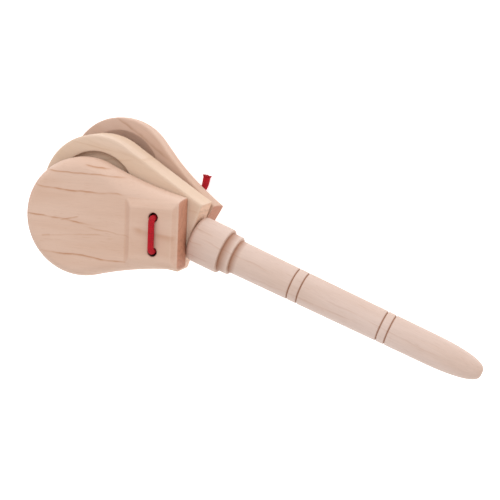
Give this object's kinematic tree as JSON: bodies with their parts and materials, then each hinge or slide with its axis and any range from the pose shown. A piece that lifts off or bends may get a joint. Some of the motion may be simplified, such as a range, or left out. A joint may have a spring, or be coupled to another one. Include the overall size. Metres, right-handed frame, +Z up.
{
  "type": "handle castanets",
  "caption": "Wooden handle castanets: a centre board on a turned handle, with a hollowed shell tied to each face by a red cord that lets the shells swivel and clap",
  "frame": {"origin": "Middle of the whole object's box in plan, at its lowest point (the knot under the back shell), with the instrument lying flat", "axes": "+X runs along the handle from the board to the tip; +Z is up, from the back shell to the front shell; +Y is across the board"},
  "size_m": [0.2368, 0.0784, 0.0549],
  "materials": {
    "board_wood": "matte",
    "handle_wood": "matte",
    "front_shell_wood": "matte",
    "back_shell_wood": "matte",
    "cord": "braided"
  },
  "bodies": {
    "board": {"centre_board": "board_wood", "handle": "handle_wood", "board_cord_left": "cord", "board_cord_right": "cord"},
    "front_cord": {"front_cord_strand_left": "cord", "front_cord_strand_right": "cord"},
    "front_shell_body": {"front_shell": "front_shell_wood", "front_cord_stitch": "cord"},
    "back_cord": {"back_cord_strand_left": "cord", "back_cord_strand_right": "cord"},
    "back_shell_body": {"back_shell": "back_shell_wood", "back_cord_leg_left": "cord", "back_cord_leg_right": "cord", "cord_knot": "cord", "cord_tail_long": "cord", "cord_tail_short": "cord"}
  },
  "joints": [
    {"name": "front_swivel", "type": "hinge", "parent": "board", "child": "front_cord", "pos_m": [-0.0487, -0.00031, 0.0361], "axis": [0, 0, 1], "range_deg": [-32, 0]},
    {"name": "front_clap", "type": "hinge", "parent": "front_cord", "child": "front_shell_body", "pos_m": [-0.03716, 0.00367, 0.0361], "axis": [-0.3256, 0.9455, 0], "range_deg": [-2.5, 12.5]},
    {"name": "back_swivel", "type": "hinge", "parent": "board", "child": "back_cord", "pos_m": [-0.0484, 0.00269, 0.0207], "axis": [0, 0, 1], "range_deg": [-6, 22]},
    {"name": "back_clap", "type": "hinge", "parent": "back_cord", "child": "back_shell_body", "pos_m": [-0.03639, 0.00057, 0.0207], "axis": [-0.1736, -0.9848, 0], "range_deg": [-5, 10]}
  ]
}
